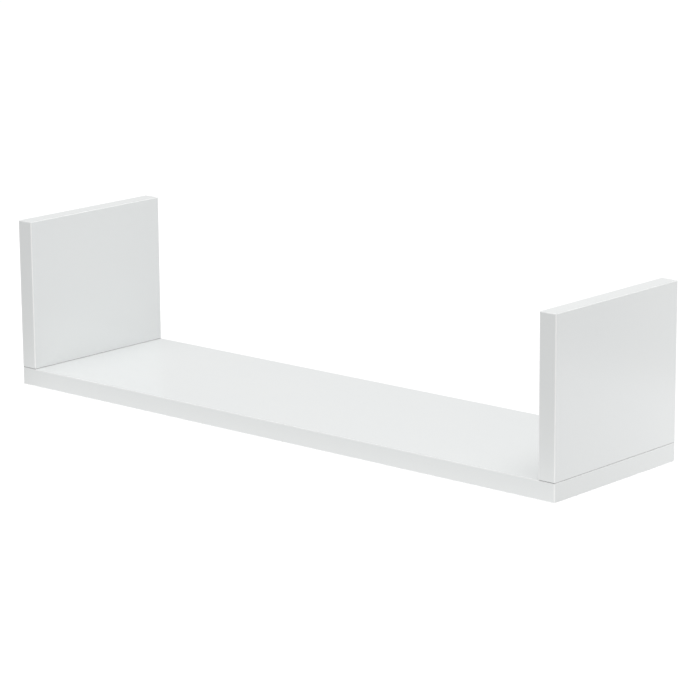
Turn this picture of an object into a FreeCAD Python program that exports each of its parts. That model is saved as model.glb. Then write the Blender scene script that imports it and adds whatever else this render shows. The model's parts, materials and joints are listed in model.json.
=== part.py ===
import FreeCAD, Part
import math
import os

# A U-shaped floating wall shelf of white faced chipboard: a base board with an upright standing on each end.
# +Z is up, the front faces -Y and the wall is the plane y = 0, behind the shelf.
# The origin is on the wall, midway between the round entries of the two keyhole hangers.

# Driving dimensions, in millimetres.
shelf_width = 600.0
shelf_depth = 160.0
shelf_height = 150.0
board_thickness = 16.0

# Facing of the boards: melamine skins on the two faces, plastic bands on the cut edges.
skin_thickness = 0.3
band_thickness = 1.0
arris_radius = 0.8
foot_ease = 0.4

# Joint between an upright and the base: two one-piece connector screws and two glued dowels.
connector_inset = 32.0
connector_length = 50.0
connector_head_radius = 5.0
connector_head_rim = 1.2
connector_neck_radius = 3.4
connector_crest_radius = 3.5
connector_core_radius = 2.5
connector_pitch = 3.0
connector_socket_width = 4.0
connector_socket_depth = 2.8

dowel_spread = 32.0
dowel_radius = 4.0
dowel_length = 30.0
dowel_depth_in_base = 11.0
dowel_end_chamfer = 1.0
flute_count = 16
flute_radius = 0.5
flute_depth = 0.35

# White caps that hide the connector heads on the underside.
cap_radius = 6.5
cap_thickness = 1.2
cap_edge_radius = 0.8
cap_stem_length = 2.2

# Keyhole hangers, let into the rear edges of the uprights.
entry_drop = 32.0
entry_radius = 4.5
slot_width = 5.0
slot_travel = 9.5
plate_thickness = 1.5
plate_side_land = 1.5
plate_land = 3.0
plate_end_land = 2.5
pocket_depth = 12.0

# Countersunk screws that hold the hangers.
plate_screw_length = 16.0
plate_screw_head_radius = 2.9
plate_screw_head_rim = 0.2
plate_screw_neck_radius = 1.45
plate_screw_crest_radius = 1.5
plate_screw_core_radius = 1.0
plate_screw_pitch = 1.35
cross_width = 0.7
cross_length = 3.2
cross_depth = 1.1

# The share of a thread's pitch that its ridge takes up.
ridge_share = 0.7

# Clearances.
screw_clearance = 0.05
dowel_clearance = 0.05
dowel_end_room = 0.5
tip_room = 1.0
stem_clearance = 0.05
plate_clearance = 0.2
head_sinking = 0.05
head_room = 0.5

# Places that follow from the sizes above.
half_width = shelf_width / 2
joint_offset = half_width - board_thickness / 2
top = entry_drop
underside = top - shelf_height
deck = underside + board_thickness
connector_places = (-connector_inset, connector_inset - shelf_depth)
dowel_places = ((dowel_spread - shelf_depth) / 2, -(dowel_spread + shelf_depth) / 2)
plate_half_width = entry_radius + plate_side_land
plate_hole_reach = plate_screw_head_radius + plate_land
upper_plate_hole = slot_travel + slot_width / 2 + plate_hole_reach
lower_plate_hole = -entry_radius - plate_hole_reach
plate_top = upper_plate_hole + plate_screw_head_radius + plate_end_land
plate_bottom = lower_plate_hole - plate_screw_head_radius - plate_end_land

# How far a cutting shape runs past the face that it opens, and how near counts as in a plane.
overshoot = 5.0
tolerance = 0.01

up = FreeCAD.Vector(0, 0, 1)
inward = FreeCAD.Vector(0, -1, 0)


def block(low, high):
    """A box between two opposite corners."""
    size = [b - a for a, b in zip(low, high)]
    return Part.makeBox(*size, FreeCAD.Vector(*low))


def hexagonal_rod(across_flats, length, place):
    """An upright rod with six flats, standing on its place."""
    radius = across_flats / math.sqrt(3)
    corners = [
        place + FreeCAD.Vector(radius * math.cos(angle), radius * math.sin(angle), 0)
        for angle in (math.radians(60 * step) for step in range(7))
    ]
    return Part.Face(Part.makePolygon(corners)).extrude(up * length)


def stadium(radius, low, high, depth, place):
    """A flat bar with round ends, from height low to high about its place, running in from there."""
    left, right = -radius, radius
    corners = [
        FreeCAD.Vector(left, 0, low + radius),
        FreeCAD.Vector(0, 0, low),
        FreeCAD.Vector(right, 0, low + radius),
        FreeCAD.Vector(right, 0, high - radius),
        FreeCAD.Vector(0, 0, high),
        FreeCAD.Vector(left, 0, high - radius),
    ]
    outline = [
        Part.Arc(corners[0], corners[1], corners[2]),
        Part.LineSegment(corners[2], corners[3]),
        Part.Arc(corners[3], corners[4], corners[5]),
        Part.LineSegment(corners[5], corners[0]),
    ]
    wire = Part.Wire([segment.toShape() for segment in outline])
    bar = Part.Face(wire).extrude(inward * depth)
    bar.translate(place)
    return bar


def turned(profile, place, direction):
    """The solid turned from (radius, distance) pairs, along a direction from its place."""
    corners = [FreeCAD.Vector(radius, 0, distance) for radius, distance in profile]
    face = Part.Face(Part.makePolygon(corners + corners[:1]))
    solid = face.revolve(FreeCAD.Vector(0, 0, 0), up, 360)
    solid.Placement = FreeCAD.Placement(place, FreeCAD.Rotation(up, direction))
    return solid


def screw_profile(head_radius, head_rim, neck_radius, neck_end, crest_radius, core_radius, pitch, length):
    """A countersunk screw's outline, as (radius, distance) pairs from its head's face to its tip."""
    cone_end = head_rim + head_radius - neck_radius
    profile = [(head_radius, 0), (head_radius, head_rim), (neck_radius, cone_end), (neck_radius, neck_end)]
    thread_start = neck_end + crest_radius - core_radius
    tip_start = length - 2 * core_radius
    ridge = pitch * ridge_share
    for turn in range(int((tip_start - thread_start) / pitch)):
        root = thread_start + turn * pitch
        profile += [(core_radius, root), (crest_radius, root + ridge / 2), (core_radius, root + ridge)]
    return profile + [(core_radius, tip_start), (core_radius / 2, length)]


def screw(profile, place, direction):
    """A screw with its head's face at its place."""
    return turned([(0, 0)] + profile + [(0, profile[-1][1])], place, direction)


def screw_bore(profile, place, direction):
    """The hole that a screw has cut, open past its head and a little deeper than its tip."""
    wider = [(radius + screw_clearance, distance) for radius, distance in profile]
    mouth = (wider[0][0], -overshoot)
    bottom = (wider[-1][0], wider[-1][1] + tip_room)
    return turned([(0, mouth[1]), mouth] + wider[1:] + [bottom, (0, bottom[1])], place, direction)


def connector_profile():
    """The one-piece connector screw: its neck passes the base, its thread bites in the upright."""
    return screw_profile(
        connector_head_radius,
        connector_head_rim,
        connector_neck_radius,
        board_thickness,
        connector_crest_radius,
        connector_core_radius,
        connector_pitch,
        connector_length,
    )


def plate_screw_profile():
    """The small countersunk screw of a hanger: its cone fills the plate, its thread bites in the board."""
    return screw_profile(
        plate_screw_head_radius,
        plate_screw_head_rim,
        plate_screw_neck_radius,
        plate_thickness + plate_clearance,
        plate_screw_crest_radius,
        plate_screw_core_radius,
        plate_screw_pitch,
        plate_screw_length,
    )


def connector_screw(place):
    """A connector screw driven up from the underside, with its hexagonal socket."""
    socket = hexagonal_rod(connector_socket_width, connector_socket_depth + overshoot, place - up * overshoot)
    return screw(connector_profile(), place, up).cut(socket)


def cover_cap(place):
    """A push-in cap: a round-edged disc under the board, with a six-sided stem in the screw's socket."""
    disc = Part.makeCylinder(cap_radius, cap_thickness, place - up * cap_thickness, up)
    rim = [edge for edge in disc.Edges if edge.BoundBox.ZMax < place.z - cap_thickness / 2]
    disc = disc.makeFillet(cap_edge_radius, rim)
    stem = hexagonal_rod(connector_socket_width - 2 * stem_clearance, cap_stem_length, place)
    return disc.fuse(stem)


def dowel(place):
    """A fluted wooden dowel with chamfered ends, standing on its place."""
    shank = dowel_radius - dowel_end_chamfer
    profile = [
        (0, 0),
        (shank, 0),
        (dowel_radius, dowel_end_chamfer),
        (dowel_radius, dowel_length - dowel_end_chamfer),
        (shank, dowel_length),
        (0, dowel_length),
    ]
    groove_centre = dowel_radius + flute_radius - flute_depth
    grooves = []
    for flute in range(flute_count):
        angle = 2 * math.pi * flute / flute_count
        side = FreeCAD.Vector(math.cos(angle), math.sin(angle), 0) * groove_centre
        grooves.append(Part.makeCylinder(flute_radius, dowel_length, place + side, up))
    return turned(profile, place, up).cut(grooves)


def dowel_bore(place):
    """The hole for a dowel, through the joint and a little deeper at both ends."""
    start = place - up * dowel_end_room
    return Part.makeCylinder(dowel_radius + dowel_clearance, dowel_length + 2 * dowel_end_room, start, up)


def hanger_plate(place):
    """A keyhole plate about its entry's centre, with two countersunk holes."""
    plate = stadium(plate_half_width, plate_bottom, plate_top, plate_thickness, place)
    outside = place - inward * overshoot
    through = plate_thickness + 2 * overshoot
    entry = Part.makeCylinder(entry_radius, through, outside, inward)
    slot = stadium(slot_width / 2, -slot_width / 2, slot_travel + slot_width / 2, through, outside)
    return plate.cut([entry, slot] + plate_screw_bores(place))


def plate_recess(place):
    """The shallow seat that lets the plate in flush, and the deeper pocket for the wall screw's head."""
    outside = place - inward * overshoot
    edge = plate_half_width + plate_clearance
    seat_low = plate_bottom - plate_clearance
    seat_high = plate_top + plate_clearance
    seat = stadium(edge, seat_low, seat_high, plate_thickness + overshoot, outside)
    bore = entry_radius + head_room
    return [seat, stadium(bore, -bore, slot_travel + bore, pocket_depth + overshoot, outside)]


def plate_screw_places(place):
    """Where a hanger's two screws have their heads' faces."""
    return [place + up * height + inward * head_sinking for height in (lower_plate_hole, upper_plate_hole)]


def plate_screw_bores(place):
    """The holes of a hanger's two screws."""
    return [screw_bore(plate_screw_profile(), spot, inward) for spot in plate_screw_places(place)]


def plate_screw(place):
    """A hanger's screw, with a cross cut in its head."""
    cuts = []
    for size in ((cross_length, cross_width), (cross_width, cross_length)):
        low = (place.x - size[0] / 2, place.y - cross_depth, place.z - size[1] / 2)
        high = (place.x + size[0] / 2, place.y + overshoot, place.z + size[1] / 2)
        cuts.append(block(low, high))
    return screw(plate_screw_profile(), place, inward).cut(cuts)


def base_form():
    """The whole base board, with every arris rounded."""
    board = block((-half_width, -shelf_depth, underside), (half_width, 0, deck))
    return board.makeFillet(arris_radius, board.Edges)


def upright_form(side):
    """The whole upright at one end, rounded all round and eased where it stands on the base."""
    inner = side * (half_width - board_thickness)
    outer = side * half_width
    low, high = min(inner, outer), max(inner, outer)
    board = block((low, -shelf_depth, deck), (high, 0, top))
    foot = deck + tolerance
    rounded = board.makeFillet(arris_radius, [edge for edge in board.Edges if edge.BoundBox.ZMax > foot])
    return rounded.makeChamfer(foot_ease, [edge for edge in rounded.Edges if edge.BoundBox.ZMax < foot])


def base_pieces():
    """The base as a core, two skins and four bands; the long bands cover the ends of the short ones."""
    form = base_form()
    left, right = band_thickness - half_width, half_width - band_thickness
    front, rear = band_thickness - shelf_depth, -band_thickness
    low, high = underside + skin_thickness, deck - skin_thickness
    regions = {
        "base_board": block((left, front, low), (right, rear, high)),
        "base_top_skin": block((left, front, high), (right, rear, deck)),
        "base_underside_skin": block((left, front, underside), (right, rear, low)),
        "base_front_band": block((-half_width, -shelf_depth, underside), (half_width, front, deck)),
        "base_rear_band": block((-half_width, rear, underside), (half_width, 0, deck)),
        "base_left_band": block((-half_width, front, underside), (left, rear, deck)),
        "base_right_band": block((right, front, underside), (half_width, rear, deck)),
    }
    holes = []
    for side in (-1, 1):
        holes += joint_bores(side)
    return {name: form.common(region).cut(holes) for name, region in regions.items()}


def upright_pieces(side, side_name):
    """An upright as a core, two skins and three bands; the upright bands cover the ends of the top one."""
    form = upright_form(side)
    faces = {
        "inner": (half_width - board_thickness, half_width - board_thickness + skin_thickness),
        "core": (half_width - board_thickness + skin_thickness, half_width - skin_thickness),
        "outer": (half_width - skin_thickness, half_width),
        "whole": (half_width - board_thickness, half_width),
    }
    front, rear = band_thickness - shelf_depth, -band_thickness
    ceiling = top - band_thickness

    def region(face, y_low, y_high, z_low, z_high):
        across = sorted(side * x for x in faces[face])
        return block((across[0], y_low, z_low), (across[1], y_high, z_high))

    regions = {
        "board": region("core", front, rear, deck, ceiling),
        "inner_skin": region("inner", front, rear, deck, ceiling),
        "outer_skin": region("outer", front, rear, deck, ceiling),
        "front_band": region("whole", -shelf_depth, front, deck, top),
        "rear_band": region("whole", rear, 0, deck, top),
        "top_band": region("whole", front, rear, ceiling, top),
    }
    hanger = FreeCAD.Vector(side * joint_offset, 0, 0)
    holes = joint_bores(side) + plate_recess(hanger) + plate_screw_bores(hanger)
    return {
        f"{side_name}_upright_{name}": form.common(part).cut(holes)
        for name, part in regions.items()
    }


def connector_place(side, y):
    """Where a connector screw's head faces the underside."""
    return FreeCAD.Vector(side * joint_offset, y, underside)


def dowel_place(side, y):
    """Where a dowel's lower end stands in the base."""
    return FreeCAD.Vector(side * joint_offset, y, deck - dowel_depth_in_base)


def joint_bores(side):
    """The holes of one upright's joint, which run on through base and upright."""
    bores = [screw_bore(connector_profile(), connector_place(side, y), up) for y in connector_places]
    return bores + [dowel_bore(dowel_place(side, y)) for y in dowel_places]


def joint_pieces(side, side_name):
    """The connector screws, caps and dowels of one upright."""
    pieces = {}
    for row, y in zip(("rear", "front"), connector_places):
        pieces[f"{side_name}_{row}_connector_screw"] = connector_screw(connector_place(side, y))
        pieces[f"{side_name}_{row}_cover_cap"] = cover_cap(connector_place(side, y))
    for row, y in zip(("rear", "front"), dowel_places):
        pieces[f"{side_name}_{row}_dowel"] = dowel(dowel_place(side, y))
    return pieces


def hanger_pieces(side, side_name):
    """A keyhole hanger with its two screws."""
    place = FreeCAD.Vector(side * joint_offset, 0, 0)
    pieces = {f"{side_name}_hanger_plate": hanger_plate(place)}
    for row, spot in zip(("lower", "upper"), plate_screw_places(place)):
        pieces[f"{side_name}_hanger_{row}_screw"] = plate_screw(spot)
    return pieces


def shelf():
    """Every piece of the shelf by name."""
    pieces = base_pieces()
    for side, side_name in ((-1, "left"), (1, "right")):
        pieces.update(upright_pieces(side, side_name))
        pieces.update(joint_pieces(side, side_name))
        pieces.update(hanger_pieces(side, side_name))
    return pieces


os.makedirs("parts", exist_ok=True)
for name, shape in shelf().items():
    shape.exportStep(f"parts/{name}.step")
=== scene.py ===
# %% [markdown]
# # A floating wall shelf, dressed for its picture
# The shelf is a U of white faced chipboard: a base board with an upright standing on each end. Its
# construction comes packed from CAD, with every board, skin, band, screw, dowel, cap and hanger as a node at
# its true place. This lesson gives those nodes their finish and models anew what deserves a softer shape:
# edge bands with rounded arrises, screws with real threads, stamped hangers, moulded caps and turned dowels.
# All of it stays in the CAD's own frame: metres, +Z up, the front towards -Y, and the wall at y = 0.

import json
import math

import bpy
import bmesh
from mathutils import Matrix, Vector


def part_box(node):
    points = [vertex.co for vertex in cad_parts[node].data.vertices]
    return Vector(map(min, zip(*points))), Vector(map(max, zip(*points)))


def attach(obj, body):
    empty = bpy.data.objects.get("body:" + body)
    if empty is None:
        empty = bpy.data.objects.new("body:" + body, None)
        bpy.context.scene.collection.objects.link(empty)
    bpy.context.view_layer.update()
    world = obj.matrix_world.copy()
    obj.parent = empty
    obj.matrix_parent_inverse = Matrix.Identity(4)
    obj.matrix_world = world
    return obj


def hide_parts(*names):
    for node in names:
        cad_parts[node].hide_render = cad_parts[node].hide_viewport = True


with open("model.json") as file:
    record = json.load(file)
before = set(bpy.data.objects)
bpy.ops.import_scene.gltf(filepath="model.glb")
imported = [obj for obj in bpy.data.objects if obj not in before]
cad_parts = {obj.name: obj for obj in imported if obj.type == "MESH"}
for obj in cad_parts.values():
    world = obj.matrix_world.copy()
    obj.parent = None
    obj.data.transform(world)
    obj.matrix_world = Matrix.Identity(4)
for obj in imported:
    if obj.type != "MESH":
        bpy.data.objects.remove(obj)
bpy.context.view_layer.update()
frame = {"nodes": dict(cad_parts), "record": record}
nodes = frame["nodes"]

# %% [markdown]
# ## Measuring in millimetres
# A joiner thinks in millimetres, and Blender's modelling tools also behave better on numbers near one than on
# numbers near a thousandth. So each form is modelled in millimetres and shrunk to metres when it is finished.
# What the CAD already knows is read from the frame: `reach` gives the corners of one node, or of several
# together. Two small lengths serve all over: `HAIR` is what counts as no distance at all, and `FOOT_EASE` is
# how much the edges of an upright's foot are broken where it stands on the base.

# %% Read sizes from the frame
MM = 0.001


def reach(*names):
    """Lowest and highest corner of some nodes together, in millimetres."""
    corners = [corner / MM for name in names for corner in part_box(name)]
    low = Vector([min(corner[axis] for corner in corners) for axis in range(3)])
    high = Vector([max(corner[axis] for corner in corners) for axis in range(3)])
    return low, high


def middle(name):
    """The centre of a node's box, in millimetres."""
    low, high = reach(name)
    return (low + high) / 2


base_low, base_high = reach("base_front_band", "base_rear_band")
FOOT_EASE = 0.4
HAIR = 0.01
print("base board", [round(size, 2) for size in base_high - base_low])

# %% [markdown]
# ## Sums of sockets
# A finish is a small network of nodes, and much of it is arithmetic: a noise times a tenth, added to another.
# Placing Math nodes one by one hides that sum. The class below wraps a node's output and adds the Math node
# for each operator used on it, so that a recipe reads like the sum it is. Every other node comes from one
# method of `Finish`, which takes the node's type, its settings, and what goes into its sockets.

# %% Write shader recipes as expressions


class Output:
    """An output of a node. Operators on it add the Math nodes they stand for."""

    def __init__(self, finish, socket):
        self.finish = finish
        self.socket = socket

    def math(self, operation, first, second):
        return self.finish.node("ShaderNodeMath", {"operation": operation}, {0: first, 1: second})

    def __add__(self, other):
        return self.math("ADD", self, other)

    def __radd__(self, other):
        return self.math("ADD", other, self)

    def __mul__(self, other):
        return self.math("MULTIPLY", self, other)

    def __rmul__(self, other):
        return self.math("MULTIPLY", other, self)

    def __getitem__(self, name):
        """Another output of the same node, by name or number."""
        return Output(self.finish, self.socket.node.outputs[name])


class Finish:
    """A material that is built up one node at a time."""

    def __init__(self, name):
        self.material = bpy.data.materials.new(name)
        self.material.use_nodes = True
        self.tree = self.material.node_tree
        self.tree.nodes.clear()
        self.place = self.node("ShaderNodeTexCoord")["Object"]

    def node(self, kind, settings=None, inputs=None):
        """Adds a node. Its settings come first, then a value or a link for each socket given."""
        made = self.tree.nodes.new(kind)
        for name, value in (settings or {}).items():
            setattr(made, name, value)
        for name, value in (inputs or {}).items():
            if isinstance(value, Output):
                self.tree.links.new(value.socket, made.inputs[name])
            else:
                made.inputs[name].default_value = value
        return Output(self, made.outputs[0]) if made.outputs else None

    def noise(self, grain, vector=None, detail=2.0):
        """Clouds whose lumps are about one grain wide, in metres, from 0 to 1."""
        inputs = {"Vector": vector or self.place, "Scale": 1 / grain, "Detail": detail}
        return self.node("ShaderNodeTexNoise", None, inputs)

    def flecks(self, grain, low, high, vector=None):
        """Separate spots: 0 where a noise is under low, 1 where it is over high, and soft between."""
        inputs = {"Value": self.noise(grain, vector), "From Min": low, "From Max": high}
        return self.node("ShaderNodeMapRange", None, inputs)

    def between(self, low, high):
        """1 where the surface lies between two heights, in millimetres, and 0 elsewhere."""
        height = self.node("ShaderNodeSeparateXYZ", None, {"Vector": self.place})["Z"]
        centre = (low + high) / 2 * MM
        half = (high - low) / 2 * MM
        return self.node("ShaderNodeMath", {"operation": "COMPARE"}, {0: height, 1: centre, 2: half})

    def stretched(self, stretch):
        """Object coordinates squeezed by a factor on each axis, so that a pattern runs along the smallest."""
        return self.node("ShaderNodeVectorMath", {"operation": "MULTIPLY"}, {0: self.place, 1: stretch})

    def blend(self, share, first, second):
        """From the first colour to the second, by share. The Mix node's colours are its sockets 6 and 7."""
        return self.node("ShaderNodeMix", {"data_type": "RGBA"}, {0: share, 6: first, 7: second})[2]

    def bump(self, height, depth, below=None):
        """Relief of a given depth, in metres, on top of another."""
        inputs = {"Height": height, "Distance": depth}
        if below is not None:
            inputs["Normal"] = below
        return self.node("ShaderNodeBump", None, inputs)

    def surface(self, inputs):
        """Ends the recipe in a Principled shader and returns the material."""
        shader = self.node("ShaderNodeBsdfPrincipled", None, inputs)
        self.node("ShaderNodeOutputMaterial", None, {"Surface": shader})
        print(f"finish {self.material.name}: {len(self.tree.nodes)} nodes")
        return self.material


# %% [markdown]
# ## The melamine skin
# The broad faces are chipboard faced with a thin sheet of white paper soaked in melamine and pressed hot. The
# press plate leaves a fine pearl in it, bumps about half a millimetre wide and under a hundredth deep, and
# the resin cures to a satin that mirrors its surroundings at a low angle: the deck shows a faint upright in
# it. Paint would be duller; a sheet of glass, sharper. So: a nearly even cool white, a pearl of two sizes in
# the relief, and a gloss that wanders a little where hands and cloths have been. At an upright's foot a
# hairline just above the base is painted grey, as painted shade for the joint.

# %% Mix the white melamine
WHITE = (0.86, 0.875, 0.87, 1.0)
# Grey of the painted shade in the joint at an upright's foot.
SKIN_FOOT_SHADE = (0.50, 0.49, 0.48, 1.0)


def tinted(colour, red, green, blue):
    """A colour with each channel taken down to a share of itself."""
    return (colour[0] * red, colour[1] * green, colour[2] * blue, 1.0)


def white_melamine():
    finish = Finish("white_melamine_finish")
    clouds = finish.noise(grain=0.09, detail=3.0)
    rubbed = finish.noise(grain=0.02)
    pearl = finish.noise(grain=0.0006, detail=1.0)
    grit = finish.noise(grain=0.00018, detail=1.0)
    white = finish.blend(clouds, tinted(WHITE, red=0.985, green=0.99, blue=1.0), WHITE)
    # Painted shade: a hairline just above the base, at an upright's foot, is greyed in the base colour.
    foot = finish.between(base_high.z + HAIR, base_high.z + FOOT_EASE)
    relief = finish.bump(pearl, depth=0.000008)
    return finish.surface({
        "Base Color": finish.blend(foot, white, SKIN_FOOT_SHADE),
        "Roughness": 0.15 + 0.04 * clouds + 0.04 * rubbed,
        "Normal": finish.bump(grit, depth=0.000002, below=relief),
    })


melamine = white_melamine()

# %% [markdown]
# ## The edge band
# The cut edges are closed with a plastic band one millimetre thick, glued on hot and trimmed by a cutter that
# runs along the board. Extruded plastic is smoother than pressed paper, with faint lines the way it came out
# of the die. The lines have to follow each band, so the recipe takes the direction the band runs in and
# stretches its noise along it. Three materials come out of one recipe, for bands along X, Y and Z. The
# rounded arrises are painted paler, partly for the plastic that the trimmer scrapes and partly as a painted
# highlight for their glint, most of all on the upright arrises. Height or place can't tell that, so the form
# carries it: an attribute that is 0 on flat faces and up to 1 on rounded ones. In the joint under a foot the
# band's end is painted dark, as painted shade.

# %% Mix the edge band for each direction
AXES = "xyz"
# Paler arris: partly scraped plastic, partly a painted highlight for the glint.
SCRAPED_AND_GLINT = (0.98, 0.985, 0.98, 1.0)
# Painted shade for the band's end in the joint under a foot.
BAND_FOOT_SHADE = (0.12, 0.12, 0.12, 1.0)
DRAWN_OUT = 0.01


def white_edge_band(axis):
    finish = Finish(f"white_edge_band_along_{AXES[axis]}")
    squeeze = [1.0, 1.0, 1.0]
    squeeze[axis] = DRAWN_OUT
    drawn = finish.noise(grain=0.0004, vector=finish.stretched(squeeze))
    peel = finish.noise(grain=0.0015, detail=1.0)
    clouds = finish.noise(grain=0.05)
    white = finish.blend(clouds, tinted(WHITE, red=0.98, green=0.985, blue=0.99), WHITE)
    relief = finish.bump(peel, depth=0.000006)
    arris = finish.node("ShaderNodeAttribute", {"attribute_name": "arris"})["Fac"]
    # Painted shade: this foot mask darkens the band's end just above the base.
    foot = finish.between(base_high.z + HAIR, base_high.z + FOOT_EASE)
    # The arrises are painted paler: partly scraped plastic, partly a painted highlight.
    scraped_and_glint = finish.blend(arris, white, SCRAPED_AND_GLINT)
    return finish.surface({
        "Base Color": finish.blend(foot, scraped_and_glint, BAND_FOOT_SHADE),
        "Roughness": 0.20 + 0.06 * drawn + 0.04 * clouds,
        "Normal": finish.bump(drawn, depth=0.000003, below=relief),
    })


band_finishes = [white_edge_band(axis) for axis in range(3)]

# %% [markdown]
# ## Raw chipboard
# Inside the skins are pressed wood chips, coarse in the middle of the board and almost dust at its faces. Raw
# board shows only in the pockets behind the hangers: the feet and what they stand on are sealed with a grey
# primer, so that no brown line shows in the joint. Each chip is a cell of a Voronoi pattern with a colour of
# its own, stretched the way the chips lie. Two stretched layers cross here, and a fine noise stands for the
# dust between them.

# %% Mix the chipboard
PALE_CHIP = (0.74, 0.60, 0.42, 1.0)
DARK_CHIP = (0.50, 0.35, 0.21, 1.0)
GLUE = (0.30, 0.20, 0.12, 1.0)
SEAL = (0.62, 0.63, 0.62, 1.0)
SEAL_DEPTH = 0.25
CHIP_WIDTH = 0.0016
CHIP_STRETCHES = ((0.35, 1.0, 1.6), (1.2, 0.5, 1.0))


def chipboard():
    finish = Finish("chipboard_finish")
    chips = [
        finish.node("ShaderNodeTexVoronoi", None, {"Vector": finish.stretched(way), "Scale": 1 / CHIP_WIDTH})
        for way in CHIP_STRETCHES
    ]
    shades = [
        finish.node("ShaderNodeSeparateColor", None, {"Color": layer["Color"]})
        for layer in chips
    ]
    dust = finish.noise(grain=0.0004, detail=4.0)
    glued = finish.flecks(grain=0.003, low=0.62, high=0.72)
    wood = finish.blend(0.5 * shades[0] + 0.3 * shades[1] + 0.2 * dust, DARK_CHIP, PALE_CHIP)
    sealed = finish.between(base_high.z - SEAL_DEPTH, base_high.z + FOOT_EASE)
    return finish.surface({
        "Base Color": finish.blend(sealed, finish.blend(0.7 * glued, wood, GLUE), SEAL),
        "Roughness": 0.8 + 0.15 * dust,
        "Normal": finish.bump(chips[0]["Distance"] + 0.3 * dust, depth=0.0003),
    })


chips_finish = chipboard()

# %% [markdown]
# ## Zinc-plated steel
# Screws and hangers are mild steel with a bright zinc coat. Barrel plating leaves it slightly cloudy and a
# touch blue, and the parts scratch each other as they tumble. Clouds drive the roughness, and thin bright
# scratches come from a noise that is stretched hard in one direction.

# %% Mix the zinc
ZINC = (0.70, 0.71, 0.73, 1.0)
ZINC_SHADE = (0.58, 0.60, 0.64, 1.0)


def zinc_plate():
    finish = Finish("zinc_plated_steel_finish")
    clouds = finish.noise(grain=0.003, detail=4.0)
    frost = finish.noise(grain=0.0002)
    scratches = finish.noise(grain=0.0003, vector=finish.stretched((1.0, 1.0, 0.04)))
    return finish.surface({
        "Base Color": finish.blend(clouds, ZINC_SHADE, ZINC),
        "Metallic": 1.0,
        "Roughness": 0.22 + 0.2 * clouds + 0.08 * frost,
        "Normal": finish.bump(scratches, depth=0.000008),
    })


zinc = zinc_plate()

# %% [markdown]
# ## Moulded caps
# The caps are polyethylene from a mould that a spark has eaten to a fine even grain, so they are duller than
# the boards. The boards' white is taken again, a touch cooler, and one noise drives both the gloss and the
# relief, because in the mould they come from the same pits.

# %% Mix the cap plastic


def cap_plastic():
    finish = Finish("white_cap_finish")
    pits = finish.noise(grain=0.00025, detail=1.0)
    clouds = finish.noise(grain=0.01)
    return finish.surface({
        "Base Color": finish.blend(clouds, tinted(WHITE, red=0.97, green=0.975, blue=0.98), WHITE),
        "Roughness": 0.38 + 0.08 * pits,
        "Normal": finish.bump(pits, depth=0.000012),
    })


caps_finish = cap_plastic()

# %% [markdown]
# ## Beech
# The dowels are beech turned with the grain along their length: a pinkish tan with short darker ray flecks.
# Both the fibres and the flecks are noises stretched along Z, the flecks less, because a ray is short.

# %% Mix the beech
BEECH = (0.76, 0.58, 0.41, 1.0)
BEECH_DARK = (0.58, 0.40, 0.26, 1.0)


def beech_wood():
    finish = Finish("beech_finish")
    fibres = finish.noise(grain=0.0005, vector=finish.stretched((1.0, 1.0, 0.06)), detail=4.0)
    rays = finish.flecks(grain=0.0009, low=0.58, high=0.7, vector=finish.stretched((1.0, 1.0, 0.25)))
    return finish.surface({
        "Base Color": finish.blend(0.6 * fibres + 0.4 * rays, BEECH, BEECH_DARK),
        "Roughness": 0.62 + 0.15 * fibres,
        "Normal": finish.bump(fibres, depth=0.00004),
    })


beech = beech_wood()

# %% [markdown]
# ## What stays as CAD made it
# The skins are flat sheets and the cores are plain boards with their bores. CAD has those exactly right, so
# they keep their meshes and only change material. One loop hands each node the finish of its kind, and the
# pieces that are modelled anew further down hide their node later.

# %% Give the CAD nodes their finish
for name, node in nodes.items():
    if name.endswith("_skin"):
        node.material_slots[0].material = melamine
    elif name.endswith("_board"):
        node.material_slots[0].material = chips_finish
print("flat sheets and cores keep their meshes")

# %% [markdown]
# ## Handing a form over
# Every new piece ends the same way: its form is shrunk to metres, becomes a mesh with smooth shading, rides
# on the shelf's one body, and stands for its CAD node. Smooth shading alone would make the flat faces look
# pillowed, since they share corners with the rounded edges. The Weighted Normal modifier cures that: it leans
# each corner's normal towards its largest face, so flats stay flat and only the rounding shades. Edges
# sharper than a limit stay sharp.

# %% Turn a form into a piece
SHARP = math.radians(32)


def hand_over(form, node, finish):
    """Makes a mesh of a form in millimetres, in place of a CAD node."""
    bmesh.ops.scale(form, vec=(MM, MM, MM), verts=form.verts)
    mesh = bpy.data.meshes.new(f"{node}_form")
    form.to_mesh(mesh)
    form.free()
    mesh.shade_smooth()
    mesh.set_sharp_from_angle(angle=SHARP)
    mesh.materials.append(finish)
    piece = bpy.data.objects.new(f"{node}_made", mesh)
    bpy.context.scene.collection.objects.link(piece)
    weighting = piece.modifiers.new("flats_stay_flat", "WEIGHTED_NORMAL")
    weighting.keep_sharp = True
    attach(piece, "root")
    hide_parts(node)
    return piece


# %% [markdown]
# ## A board with soft arrises
# A band could be modelled as a bent strip, but the trimmer doesn't see strips: it runs round the finished
# board and eases whatever is there. So the whole board is made first, as a cube with its edges bevelled, and
# then cut into what each band covers. The bevel has eight segments, because the glint along these edges is
# what tells the eye how softly they are rounded. A layer on the faces notes how much the band's finish
# paints each one paler, partly for scraped plastic and partly as a painted highlight: nothing on a flat
# face, and on a rounded one the more, the less it faces up or down.
# An upright's foot is cut square and only broken with a small chamfer, and that leaves the thin dark line
# where it stands on the base.

# %% Round a whole board
ARRIS = 0.8
ARRIS_SEGMENTS = 8
FLAT = 0.9999


def bevel_edges(form, edges, width, segments):
    """Rounds or chamfers some edges of a form."""
    bmesh.ops.bevel(
        form, geom=edges, offset=width, offset_type="OFFSET", affect="EDGES", segments=segments,
        profile=0.5, material=-1, clamp_overlap=True,
    )


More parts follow.
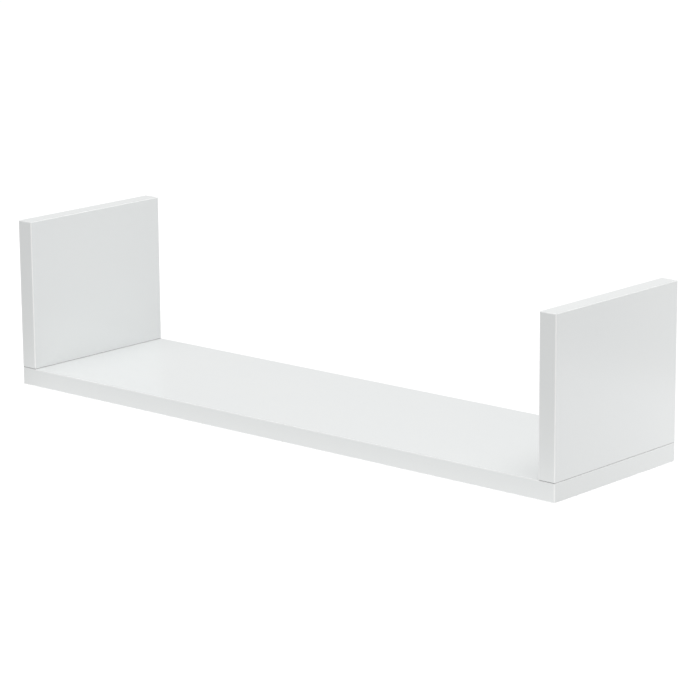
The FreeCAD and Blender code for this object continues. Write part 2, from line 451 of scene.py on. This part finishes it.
def rounded_board(low, high, has_foot):
    """A board between two corners with rounded edges, and with a chamfered foot if it has one."""
    form = bmesh.new()
    bmesh.ops.create_cube(form, size=1.0)
    bmesh.ops.scale(form, vec=high - low, verts=form.verts)
    bmesh.ops.translate(form, vec=(low + high) / 2, verts=form.verts)
    foot = low.z + HAIR if has_foot else -math.inf
    soft = [edge for edge in form.edges if max(corner.co.z for corner in edge.verts) > foot]
    bevel_edges(form, soft, ARRIS, ARRIS_SEGMENTS)
    # Share of the paler arris paint on each face, partly scraped plastic and partly painted highlight.
    rounded = form.faces.layers.float.new("arris")
    for face in form.faces:
        if max(abs(part) for part in face.normal) < FLAT:
            face[rounded] = 1 - abs(face.normal.z)
    rim = [edge for edge in form.edges if max(corner.co.z for corner in edge.verts) < foot]
    if rim:
        bevel_edges(form, rim, FOOT_EASE, 1)
    return form


base_form = rounded_board(base_low, base_high, has_foot=False)
print("rounded base board:", len(base_form.faces), "faces")

# %% [markdown]
# ## Cutting the bands
# Each band's box in the frame says where its board is cut: wherever the box stops short of the board, a plane
# cuts the form there and the hole is filled. The fresh edges are broken by a tenth of a millimetre. Two such
# edges side by side make the fine line that a real band shows against the skin, where the trimmer and the
# glue have been.

# %% Cut a band out of a board
JOINT_LINE = 0.1


def close_holes(form):
    """Fills every open rim with a face."""
    bmesh.ops.holes_fill(form, edges=[edge for edge in form.edges if edge.is_boundary], sides=0)


def cut_to_box(form, low, high):
    """Keeps what lies between two corners, and breaks the edges that the cuts leave."""
    form_low = Vector([min(corner.co[axis] for corner in form.verts) for axis in range(3)])
    form_high = Vector([max(corner.co[axis] for corner in form.verts) for axis in range(3)])
    for axis in range(3):
        for place, end, outward in ((low, form_low, -1), (high, form_high, 1)):
            if abs(place[axis] - end[axis]) < HAIR:
                continue
            normal = Vector([outward * (step == axis) for step in range(3)])
            geometry = form.verts[:] + form.edges[:] + form.faces[:]
            cut = bmesh.ops.bisect_plane(
                form, geom=geometry, dist=HAIR / 100, plane_co=place, plane_no=normal, clear_outer=True,
            )
            rim = [item for item in cut["geom_cut"] if isinstance(item, bmesh.types.BMEdge)]
            close_holes(form)
            bevel_edges(form, rim, JOINT_LINE, 1)
    return form


def cut_band(board, node, direction):
    """A band cut from a copy of its board, in the finish that runs the band's way."""
    form = cut_to_box(board.copy(), *reach(node))
    return hand_over(form, node, band_finishes[direction])


base_bands = {"base_front_band": 0, "base_rear_band": 0, "base_left_band": 1, "base_right_band": 1}
for node, direction in base_bands.items():
    piece = cut_band(base_form, node, direction)
    print(node, [round(size / MM, 2) for size in piece.dimensions], len(piece.data.polygons), "faces")
base_form.free()

# %% [markdown]
# ## Faces with holes
# The rear band of an upright opens round its hanger, and the hanger itself is a plate with a keyhole and two
# screw holes. A plate like that is drawn the way it is stamped: outlines first, in the plane of its face. A
# circle whose unwanted part is deleted leaves an arc, and two arcs joined at their ends make a slot with
# round ends or a keyhole. The fill tool then spans the face between the outer outline and the holes, and
# bridging the outlines at two depths gives the walls.

# %% Draw outlines from arcs
ROUND = 64


def circle(form, radius, centre):
    """A ring of corners in a plane across Y. A quarter turn is a whole number of its steps."""
    turn = Matrix.Translation(centre) @ Matrix.Rotation(math.pi / 2, 4, "X")
    return bmesh.ops.create_circle(form, segments=ROUND, radius=radius, matrix=turn)["verts"]


def arc(form, radius, centre, limit, side):
    """The part of a circle that lies above a height, or below it if side is -1."""
    corners = circle(form, radius, centre)
    spare = [corner for corner in corners if side * (corner.co.z - limit) < -HAIR]
    kept = [corner for corner in corners if side * (corner.co.z - limit) >= -HAIR]
    bmesh.ops.delete(form, geom=spare, context="VERTS")
    return kept


def join_arcs(form, lower, upper):
    """Closes two arcs into one outline by joining their ends on each side."""
    lower_ends, upper_ends = (
        sorted((corner for corner in part if len(corner.link_edges) == 1), key=lambda corner: corner.co.x)
        for part in (lower, upper)
    )
    for first, second in zip(lower_ends, upper_ends):
        form.edges.new((first, second))
    return lower + upper


def long_hole(form, radius, low, high, centre):
    """An outline with round ends, between two heights above its centre."""
    lower_centre = centre + Vector((0, 0, low + radius))
    upper_centre = centre + Vector((0, 0, high - radius))
    lower = arc(form, radius, lower_centre, lower_centre.z, -1)
    upper = arc(form, radius, upper_centre, upper_centre.z, 1)
    return join_arcs(form, lower, upper)


def outline_edges(corners):
    """The edges that run between some corners."""
    inside = set(corners)
    touching = {edge for corner in corners for edge in corner.link_edges}
    return [edge for edge in touching if inside.issuperset(edge.verts)]


def span(form, outlines):
    """Fills the face between an outer outline and the holes in it."""
    edges = [edge for corners in outlines for edge in outline_edges(corners)]
    bmesh.ops.triangle_fill(form, edges=edges, use_beauty=True)


def bridge(form, first, second):
    """A wall between two outlines."""
    bmesh.ops.bridge_loops(form, edges=outline_edges(first) + outline_edges(second))


# %% [markdown]
# ## The uprights' bands
# An upright wears three bands: front and rear run its full height and cover the ends of the top one. They are
# cut from one rounded board per side. The rear band is then pierced: its two flat faces are taken off, the
# hole's outline is drawn in each plane, and the faces are spanned again round it.

# %% Cut and pierce the uprights' bands
SIDES = ("left", "right")
PLATE_ROOM = 0.2


def pierce(form, planes, draw):
    """Opens a hole right through, between two planes across Y. draw gives its outline in a plane."""
    rings = []
    for plane in planes:
        in_plane = [face for face in form.faces if abs(face.calc_center_median().y - plane) < HAIR]
        flat = max(in_plane, key=lambda face: face.calc_area())
        rim = list(flat.verts)
        bmesh.ops.delete(form, geom=[flat], context="FACES_ONLY")
        ring = draw(form, plane)
        span(form, [rim, ring])
        rings.append(ring)
    bridge(form, *rings)
    bmesh.ops.recalc_face_normals(form, faces=form.faces)


def upright_bands(side):
    """The three bands of one upright, which run along Z, Z and Y."""
    board = rounded_board(*reach(f"{side}_upright_front_band", f"{side}_upright_rear_band"), has_foot=True)
    plate_low, plate_high = reach(f"{side}_hanger_plate")
    radius = (plate_high.x - plate_low.x) / 2 + PLATE_ROOM

    def recess(form, plane):
        centre = Vector(((plate_low.x + plate_high.x) / 2, plane, 0))
        return long_hole(form, radius, plate_low.z - PLATE_ROOM, plate_high.z + PLATE_ROOM, centre)

    for place, direction in (("front", 2), ("rear", 2), ("top", 1)):
        node = f"{side}_upright_{place}_band"
        form = cut_to_box(board.copy(), *reach(node))
        if place == "rear":
            low, high = reach(node)
            pierce(form, (low.y, high.y), recess)
        piece = hand_over(form, node, band_finishes[direction])
        print(node, len(piece.data.polygons), "faces")
    board.free()


for side in SIDES:
    upright_bands(side)

# %% [markdown]
# ## The keyhole hangers
# A hanger is stamped from one and a half millimetre strip. The punch leaves its face edges slightly rolled
# over, so the plate is drawn at three depths: the face, a little smaller all round; the shoulder, at full
# size; and the back. The screw holes also change on the way, from wide at the face to narrow at the back,
# which is the countersink.

# %% Stamp the hangers
MOUNTS = {mount["name"]: mount["dims"] for mount in frame["record"]["mounts"]}
ENTRY_RADIUS = MOUNTS["left_keyhole_entry"]["r_mm"]
SLOT_WIDTH = 5.0
SLOT_TRAVEL = 9.5
ROLLED_EDGE = 0.15
SINK_MOUTH = 2.95
SINK_THROAT = 1.5


def keyhole(form, grow, centre):
    """A round entry with a slot above it, larger all round by grow."""
    half_slot = SLOT_WIDTH / 2 + grow
    entry = ENTRY_RADIUS + grow
    mouth = centre.z + math.sqrt(entry ** 2 - half_slot ** 2)
    lower = arc(form, entry, centre, mouth, -1)
    slot_centre = centre + Vector((0, 0, SLOT_TRAVEL))
    upper = arc(form, half_slot, slot_centre, slot_centre.z, 1)
    for corner in lower:
        if len(corner.link_edges) == 1:
            corner.co.x = math.copysign(half_slot, corner.co.x - centre.x) + centre.x
            corner.co.z = mouth
    return join_arcs(form, lower, upper)


def hanger(side):
    """One keyhole plate, drawn at three depths."""
    low, high = reach(f"{side}_hanger_plate")
    centre_x = (low.x + high.x) / 2
    screws = [middle(f"{side}_hanger_{row}_screw").z for row in ("lower", "upper")]
    form = bmesh.new()
    levels = []
    for depth, grow, sink in (
        (high.y, ROLLED_EDGE, SINK_MOUTH),
        (high.y - ROLLED_EDGE, 0.0, SINK_MOUTH - ROLLED_EDGE),
        (low.y, 0.0, SINK_THROAT),
    ):
        centre = Vector((centre_x, depth, 0))
        width = (high.x - low.x) / 2 - grow
        outlines = [long_hole(form, width, low.z + grow, high.z - grow, centre), keyhole(form, grow, centre)]
        outlines += [circle(form, sink, Vector((centre_x, depth, height))) for height in screws]
        levels.append(outlines)
    for upper, lower in zip(levels, levels[1:]):
        for first, second in zip(upper, lower):
            bridge(form, first, second)
    span(form, levels[0])
    span(form, levels[-1])
    bmesh.ops.recalc_face_normals(form, faces=form.faces)
    return hand_over(form, f"{side}_hanger_plate", zinc)


for side in SIDES:
    print(side, "hanger", len(hanger(side).data.polygons), "faces")

# %% [markdown]
# ## Screws
# Two kinds of screw hold the shelf: one-piece connectors with a hexagonal socket, which draw the uprights
# down onto the base, and small cross-headed screws in the hangers. Both are turned, so a profile of a few
# corners is spun round the axis. The thread could be spun too, as a helix, but then its ends hang open and
# have to be stitched to the shank. Here the shank gets many rings instead, and each corner is pushed out by
# how near the helix passes: a closed skin with a real thread that runs out at both ends.

# %% Spin a profile and cut its thread
SPIN_STEPS = 36
RINGS_PER_TURN = 10
RIDGE_SHARE = 0.7


def turned(form, profile):
    """Spins (radius, distance) pairs round Z into a skin that is open at the first pair."""
    corners = [form.verts.new((radius, 0, distance)) for radius, distance in profile]
    edges = [form.edges.new(pair) for pair in zip(corners, corners[1:])]
    bmesh.ops.spin(
        form, geom=corners + edges, cent=(0, 0, 0), axis=(0, 0, 1), dvec=(0, 0, 0), angle=2 * math.pi,
        steps=SPIN_STEPS, use_merge=True, use_duplicate=False,
    )
    bmesh.ops.remove_doubles(form, verts=form.verts, dist=HAIR / 10)


def cut_thread(form, start, end, core, crest, pitch):
    """Rings the shank between two distances and pushes a helical ridge out of it."""
    shank = [
        edge for edge in form.edges
        if abs(abs(edge.verts[0].co.z - edge.verts[1].co.z) - (end - start)) < HAIR
    ]
    cuts = round((end - start) / pitch * RINGS_PER_TURN) - 1
    bmesh.ops.subdivide_edges(form, edges=shank, cuts=cuts, use_grid_fill=False)
    for corner in form.verts:
        height = corner.co.z
        if start < height < end:
            turn = math.atan2(corner.co.y, corner.co.x) / (2 * math.pi)
            from_ridge = abs((height / pitch - turn) % 1.0 - 0.5)
            ridge = max(0.0, 1.0 - from_ridge / (RIDGE_SHARE / 2))
            runout = min(1.0, (height - start) / pitch, (end - height) / pitch)
            swell = 1 + (crest / core - 1) * ridge * runout
            corner.co.x *= swell
            corner.co.y *= swell


# %% [markdown]
# ## Sockets in their heads
# A hexagonal socket is a six-sided circle pushed into the head. A cross starts as the small square in its
# middle, whose four edges are pulled outwards into arms, and the five faces are pushed in together with a
# taper. The head's face is then spanned between the socket's mouth and the rim, with the same fill as the
# plates.

# %% Push a socket into a head
HEX_SIDES = 6
HEX_WIDTH = 4.0
HEX_DEPTH = 2.8
HEX_TAPER = 0.95
CROSS_WIDTH = 0.7
CROSS_LENGTH = 3.2
CROSS_DEPTH = 1.1
CROSS_TAPER = 0.6


def push_in(form, faces, depth, taper):
    """Pushes a flat patch along +Z, narrower at its floor, and returns the corners of its open mouth."""
    mouth = list({corner for face in faces for corner in face.verts})
    pushed = bmesh.ops.extrude_face_region(form, geom=faces, use_keep_orig=True)["geom"]
    floor = [item for item in pushed if isinstance(item, bmesh.types.BMVert)]
    bmesh.ops.scale(form, vec=(taper, taper, 1.0), verts=floor)
    bmesh.ops.translate(form, vec=(0, 0, depth), verts=floor)
    bmesh.ops.delete(form, geom=faces, context="FACES")
    return mouth


def hex_socket(form):
    """Six flats, for the key that drives a connector."""
    radius = HEX_WIDTH / math.sqrt(3)
    hexagon = bmesh.ops.create_circle(form, cap_ends=True, segments=HEX_SIDES, radius=radius)["verts"]
    return push_in(form, list(hexagon[0].link_faces), HEX_DEPTH, HEX_TAPER)


def cross_socket(form):
    """Four tapering arms, for a cross-head screwdriver."""
    square = bmesh.ops.create_grid(form, x_segments=1, y_segments=1, size=CROSS_WIDTH / 2)["verts"]
    faces = list(square[0].link_faces)
    for edge in outline_edges(square):
        outward = (edge.verts[0].co + edge.verts[1].co).normalized()
        pulled = bmesh.ops.extrude_edge_only(form, edges=[edge])["geom"]
        tips = [item for item in pulled if isinstance(item, bmesh.types.BMVert)]
        bmesh.ops.translate(form, vec=outward * (CROSS_LENGTH - CROSS_WIDTH) / 2, verts=tips)
        faces += tips[0].link_faces
    return push_in(form, faces, CROSS_DEPTH, CROSS_TAPER)


# %% [markdown]
# ## The profile of a screw
# Both kinds of screw share one profile, from the head's face over its rim, down the countersink to the neck,
# and along the threaded core to a point. The point is two core radii long, and blunter over its last three
# tenths of one. A connector's neck is as long as the base is thick, so that its thread bites in the upright
# alone. The screw is made upright at the origin, where spinning and threading are simple, and then turned and
# moved to its place.

# %% Make the screws
POINT_LENGTH = 2.0
BLUNT_TIP = 0.3


def screw(node, place, axis_turn, socket, length, head, rim, neck, neck_end, crest, core, pitch):
    """A countersunk screw in place of a node, made along +Z from its head's face and then turned."""
    form = bmesh.new()
    thread_start = neck_end + crest - core
    thread_end = length - POINT_LENGTH * core
    turned(form, [
        (head, 0), (head, rim), (neck, rim + head - neck), (neck, neck_end), (core, thread_start),
        (core, thread_end), (BLUNT_TIP * core, length - BLUNT_TIP * core), (0, length),
    ])
    cut_thread(form, thread_start, thread_end, core, crest, pitch)
    face_rim = [corner for corner in form.verts if abs(corner.co.z) < HAIR]
    span(form, [face_rim, socket(form)])
    bmesh.ops.recalc_face_normals(form, faces=form.faces)
    bmesh.ops.transform(form, matrix=Matrix.Translation(place) @ axis_turn, verts=form.verts)
    return hand_over(form, node, zinc)


def connector(node):
    """A one-piece connector, driven up through the base into an upright."""
    low, high = reach(node)
    place = Vector((middle(node).x, middle(node).y, low.z))
    return screw(
        node, place, Matrix.Identity(4), hex_socket, length=high.z - low.z, head=5.0, rim=1.2, neck=3.4,
        neck_end=base_high.z - base_low.z, crest=3.5, core=2.5, pitch=3.0,
    )


def hanger_screw(node):
    """A small cross-headed screw, driven through a hanger towards the front."""
    low, high = reach(node)
    place = Vector((middle(node).x, high.y, middle(node).z))
    return screw(
        node, place, Matrix.Rotation(math.pi / 2, 4, "X"), cross_socket, length=high.y - low.y, head=2.9,
        rim=0.2, neck=1.45, neck_end=1.7, crest=1.5, core=1.0, pitch=1.35,
    )


for side in SIDES:
    for row in ("front", "rear"):
        piece = connector(f"{side}_{row}_connector_screw")
    print(side, "connectors", len(piece.data.polygons), "faces each")
    for row in ("lower", "upper"):
        piece = hanger_screw(f"{side}_hanger_{row}_screw")
    print(side, "hanger screws", len(piece.data.polygons), "faces each")

# %% [markdown]
# ## Cover caps
# A cap hides each connector's head on the underside. It is moulded with a round edge, a face that crowns a
# little so that light slides over it, and a six-sided stem that grips the screw's socket. Drawing an outline
# out by its edges makes a wall, and a few such draws make the cap: down for the rim, up for the stem. The
# lower face is inset in steps, a little lower each time, which makes the crown.

# %% Mould the caps
CAP_EDGE = 0.7
CROWN = 0.25
CROWN_STEPS = 5
STEM_ROOM = 0.05


def draw_out(form, outline, offset, shrink=1.0):
    """Draws an outline out into a wall, and returns the outline at its far end."""
    centre = sum((corner.co for corner in outline), Vector()) / len(outline)
    made = bmesh.ops.extrude_edge_only(form, edges=outline_edges(outline))["geom"]
    far = [item for item in made if isinstance(item, bmesh.types.BMVert)]
    about_centre = Matrix.Translation(-centre)
    bmesh.ops.scale(form, vec=(shrink, shrink, shrink), space=about_centre, verts=far)
    bmesh.ops.translate(form, vec=offset, verts=far)
    return far


def close(form, outline):
    """Closes an outline with one face."""
    return bmesh.ops.contextual_create(form, geom=outline_edges(outline))["faces"][0]


def cover_cap(node):
    """A crowned cap with its stem, in place of a node."""
    low, high = reach(node)
    radius = (high.x - low.x) / 2
    seat = Vector((middle(node).x, middle(node).y, base_low.z))
    on_seat = Matrix.Translation(seat)
    form = bmesh.new()
    rim = bmesh.ops.create_circle(form, segments=ROUND, radius=radius, matrix=on_seat)["verts"]
    stem_radius = HEX_WIDTH / math.sqrt(3) - STEM_ROOM
    stem = bmesh.ops.create_circle(form, segments=HEX_SIDES, radius=stem_radius, matrix=on_seat)["verts"]
    span(form, [rim, stem])
    close(form, draw_out(form, stem, Vector((0, 0, high.z - seat.z))))
    lower_rim = draw_out(form, rim, Vector((0, 0, low.z + CROWN - seat.z)))
    face = close(form, lower_rim)
    bevel_edges(form, outline_edges(lower_rim), CAP_EDGE, ARRIS_SEGMENTS)
    crown = min(form.faces, key=lambda face: face.calc_center_median().z)
    ring_width = (radius - CAP_EDGE) / (CROWN_STEPS + 1)
    for step in range(CROWN_STEPS):
        bmesh.ops.inset_region(form, faces=[crown], thickness=ring_width, use_even_offset=True)
        outer = 1 - step / CROWN_STEPS
        inner = 1 - (step + 1) / CROWN_STEPS
        fall = CROWN * (outer ** 2 - inner ** 2)
        bmesh.ops.translate(form, vec=(0, 0, -fall), verts=crown.verts)
    bmesh.ops.recalc_face_normals(form, faces=form.faces)
    return hand_over(form, node, caps_finish)


for side in SIDES:
    for row in ("front", "rear"):
        piece = cover_cap(f"{side}_{row}_cover_cap")
    print(side, "caps", len(piece.data.polygons), "faces each")

# %% [markdown]
# ## Fluted dowels
# Between the connectors, two glued dowels keep each upright from turning. Flutes along a dowel let air and
# glue out of the hole. A circle with eight corners to a flute is dented where the flutes run, by the depth
# that a round cutter leaves there. Then the outline is drawn out along the dowel, and shrunk over the last
# millimetre at both ends.

# %% Turn the dowels
FLUTES = 16
FLUTE_RADIUS = 0.5
FLUTE_DEPTH = 0.35
CORNERS_PER_FLUTE = 8
DOWEL_CHAMFER = 1.0


def fluted_radius(angle, radius):
    """How far a fluted dowel reaches at an angle from the middle of a flute."""
    cutter = radius + FLUTE_RADIUS - FLUTE_DEPTH
    off_axis = cutter * math.sin(angle)
    if abs(off_axis) >= FLUTE_RADIUS:
        return radius
    return min(radius, cutter * math.cos(angle) - math.sqrt(FLUTE_RADIUS ** 2 - off_axis ** 2))


def dowel(node):
    """A fluted dowel with chamfered ends, in place of a node."""
    low, high = reach(node)
    radius = (high.y - low.y) / 2
    start = Vector((middle(node).x, middle(node).y, low.z + DOWEL_CHAMFER))
    form = bmesh.new()
    outline = bmesh.ops.create_circle(
        form, segments=FLUTES * CORNERS_PER_FLUTE, radius=radius, matrix=Matrix.Translation(start),
    )["verts"]
    pitch = 2 * math.pi / FLUTES
    for corner in outline:
        spoke = corner.co - start
        from_flute = (math.atan2(spoke.y, spoke.x) + pitch / 2) % pitch - pitch / 2
        corner.co = start + spoke.normalized() * fluted_radius(from_flute, radius)
    shank = Vector((0, 0, high.z - low.z - 2 * DOWEL_CHAMFER))
    end = Vector((0, 0, DOWEL_CHAMFER))
    shrink = 1 - DOWEL_CHAMFER / radius
    close(form, draw_out(form, outline, -end, shrink))
    close(form, draw_out(form, draw_out(form, outline, shank), end, shrink))
    bmesh.ops.recalc_face_normals(form, faces=form.faces)
    return hand_over(form, node, beech)


for side in SIDES:
    for row in ("front", "rear"):
        piece = dowel(f"{side}_{row}_dowel")
    print(side, "dowels", len(piece.data.polygons), "faces each")

# %% [markdown]
# ## Floor
# The shelf hangs, so the floor lies far below it, which also leaves room to look at the underside. It is a
# wide disc of pale matt paint with the faint unevenness of a roller, and it reaches nearly to the horizon.
# Its grey is a shade darker than the boards, so that from any side the shelf stands out from it.

# %% Lay the floor
FLOOR_DROP = 3.0
FLOOR_RADIUS = 36.0
FLOOR_CORNERS = 96
PAINT = (0.81, 0.81, 0.81, 1.0)
THIN_PAINT = (0.79, 0.79, 0.79, 1.0)


def floor_paint():
    finish = Finish("floor_paint")
    return finish.surface({
        "Base Color": finish.blend(finish.noise(grain=0.6), THIN_PAINT, PAINT),
        "Roughness": 0.9,
        "Normal": finish.bump(finish.noise(grain=0.004), depth=0.0001),
    })


disc = bmesh.new()
floor_level = base_low.z * MM - FLOOR_DROP
bmesh.ops.create_circle(
    disc, cap_ends=True, segments=FLOOR_CORNERS, radius=FLOOR_RADIUS,
    matrix=Matrix.Translation((0, 0, floor_level)),
)
floor_mesh = bpy.data.meshes.new("floor")
disc.to_mesh(floor_mesh)
disc.free()
floor_mesh.materials.append(floor_paint())
floor = bpy.data.objects.new("floor", floor_mesh)
bpy.context.scene.collection.objects.link(floor)
print("floor at", round(floor_level, 3))

# %% [markdown]
# ## Light
# White boards only read as boards if each face has its own tone: the upper faces brightest, the sides next,
# the fronts darkest. A plain grey studio gives most of the light, and the boards mirror it softly. Two
# softboxes overhead lift the upper faces, and a tall one at the front right lifts the sides above the fronts.
# They are large for their power, because a small fierce lamp lights a face just as well but burns a white
# patch into the gloss when the shelf is seen from the far side. A long fill, low behind the left end, lifts
# the rear, that end and the underside, which the other softboxes miss. `AIM` is the point that the camera
# looks at, and these softboxes face it too.

# %% Hang the softboxes
AIM = Vector((0.0189, -0.080, -0.0514))


def seen_from(azimuth, elevation):
    """The direction from the shelf to a viewer: azimuth 0 is in front, and 90 is at the right end."""
    turn = math.radians(azimuth)
    lift = math.radians(elevation)
    return Vector((math.sin(turn) * math.cos(lift), -math.cos(turn) * math.cos(lift), math.sin(lift)))


def softbox(name, place, target, width, height, power):
    """A soft rectangular lamp that faces a target and isn't seen itself."""
    light = bpy.data.lights.new(name, "AREA")
    light.shape = "RECTANGLE"
    light.size = width
    light.size_y = height
    light.energy = power
    lamp = bpy.data.objects.new(name, light)
    bpy.context.scene.collection.objects.link(lamp)
    lamp.location = place
    lamp.rotation_euler = (place - target).to_track_quat("Z", "Y").to_euler()
    lamp.visible_camera = False
    print(f"lamp {name}: {width} x {height} m, {power} W")
    return lamp


def hang_softbox(name, azimuth, elevation, distance, width, height, power):
    """A softbox that faces the shelf from a distance."""
    softbox(name, AIM + seen_from(azimuth, elevation) * distance, AIM, width, height, power)


hang_softbox("overhead", azimuth=0, elevation=85, distance=3.0, width=3.0, height=3.0, power=20.5)
hang_softbox("right_overhead", azimuth=110, elevation=80, distance=1.8, width=1.6, height=1.6, power=8.2)
hang_softbox("tall_key", azimuth=57, elevation=14, distance=4.0, width=6.0, height=4.6, power=30.3)
hang_softbox("back_fill", azimuth=228, elevation=-36, distance=3.0, width=5.0, height=1.4, power=37)

# %% [markdown]
# ## The studio round it
# The studio's walls are a plain grey glow. White fronts in that light end up almost as bright as the walls
# themselves, and would fade into them when the shelf is seen level. A photographer would hang a darker
# backdrop behind. Here the walls light the shelf with one strength and meet the eye with a lower one: a Light
# Path node tells a ray that comes straight from the camera from all others. The lower strength is that of the
# floor in their light, so that from most sides no horizon shows.

# %% Light the studio's walls
WALL_GLOW = 0.647
WALL_SEEN = 0.52

world = bpy.data.worlds.new("studio")
bpy.context.scene.world = world
world.use_nodes = True
walls = world.node_tree
glow = walls.nodes["Background"]
seen = walls.nodes.new("ShaderNodeBackground")
for background, strength in ((glow, WALL_GLOW), (seen, WALL_SEEN)):
    background.inputs["Color"].default_value = (1.0, 1.0, 1.0, 1.0)
    background.inputs["Strength"].default_value = strength
ray = walls.nodes.new("ShaderNodeLightPath")
choice = walls.nodes.new("ShaderNodeMixShader")
walls.links.new(ray.outputs["Is Camera Ray"], choice.inputs["Fac"])
walls.links.new(glow.outputs["Background"], choice.inputs[1])
walls.links.new(seen.outputs["Background"], choice.inputs[2])
walls.links.new(choice.outputs["Shader"], walls.nodes["World Output"].inputs["Surface"])
print("walls glow at", WALL_GLOW, "and are seen at", WALL_SEEN)

# %% [markdown]
# ## Light from below and behind
# These lamps do what a white table and a lit wall would. A panel that lies behind the right end shines up and
# is mirrored in its lower half. A narrow strip close under the front edge throws light back up, so that the
# base's front is the brightest of the fronts and the uprights darken from their feet to their tops. It runs
# on past the right end, so light linking keeps it to the front bands; a photographer would hang black flags.
# Far behind, a long lamp lies over the stretch of floor that the camera sees past the shelf, turned to run
# away from it, and burns it out to pure white.

# %% Lay the low lamps
PANEL_PLACE = Vector((0.65, 0.25, -0.20))
PANEL_SIZE = 0.5
STRIP_LENGTH = 0.75
STRIP_WIDTH = 0.04
STRIP_SHIFT = 0.07
STRIP_AHEAD = 0.04
STRIP_BELOW = 0.06
STRIP_SPREAD = math.radians(80)
WHITE_FLOOR_WAY = 221
WHITE_FLOOR_DISTANCE = 18.5
LAMP_OVER_FLOOR = 1.1
UP = Vector((0, 0, 1))

softbox("behind_right", PANEL_PLACE, PANEL_PLACE + UP, width=PANEL_SIZE, height=PANEL_SIZE, power=0.75)

front_edge = Vector((0, base_low.y, (base_low.z + base_high.z) / 2)) * MM
under_front_edge = front_edge + Vector((STRIP_SHIFT, -STRIP_AHEAD, -STRIP_BELOW))
strip_target = front_edge + Vector((STRIP_SHIFT, 0, 0))
strip = softbox(
    "under_front", under_front_edge, strip_target, width=STRIP_LENGTH, height=STRIP_WIDTH, power=0.0468,
)
strip.data.spread = STRIP_SPREAD
fronts = bpy.data.collections.new("fronts")
for node in ("base_front_band", "left_upright_front_band", "right_upright_front_band"):
    fronts.objects.link(bpy.data.objects[f"{node}_made"])
strip.light_linking.receiver_collection = fronts

far_behind = AIM + seen_from(WHITE_FLOOR_WAY, 0) * WHITE_FLOOR_DISTANCE
far_behind.z = floor_level + LAMP_OVER_FLOOR
white_floor = softbox("white_floor", far_behind, far_behind - UP, width=11.0, height=25.0, power=655)
white_floor.rotation_euler.z = math.radians(WHITE_FLOOR_WAY)

# %% [markdown]
# ## Camera
# A long lens from two and a half metres draws the shelf almost without convergence, the way a catalogue does.
# It looks from the right front corner and from a little above, so that the deck shows as a low slope between
# the uprights. Tracking turns the camera's own Z axis along the line back from the shelf, and a fraction of a
# degree of roll comes last. The Standard view transform keeps white paint white, where a film-like one would
# turn it grey.

# %% Place the camera
AZIMUTH = 41.336
ELEVATION = 13.277
DISTANCE = 2.5076
ROLL = -0.408
LENS = 153.26
SENSOR_WIDTH = 36.0

camera_data = bpy.data.cameras.new("camera")
camera_data.lens = LENS
camera_data.sensor_width = SENSOR_WIDTH
camera = bpy.data.objects.new("camera", camera_data)
bpy.context.scene.collection.objects.link(camera)
back = seen_from(AZIMUTH, ELEVATION)
camera.location = AIM + back * DISTANCE
level_view = back.to_track_quat("Z", "Y").to_matrix().to_4x4()
camera.rotation_euler = (level_view @ Matrix.Rotation(math.radians(ROLL), 4, "Z")).to_euler()
bpy.context.scene.camera = camera
bpy.context.scene.view_settings.view_transform = "Standard"
print("camera at", [round(place, 3) for place in camera.location], "with a lens of", LENS, "mm")
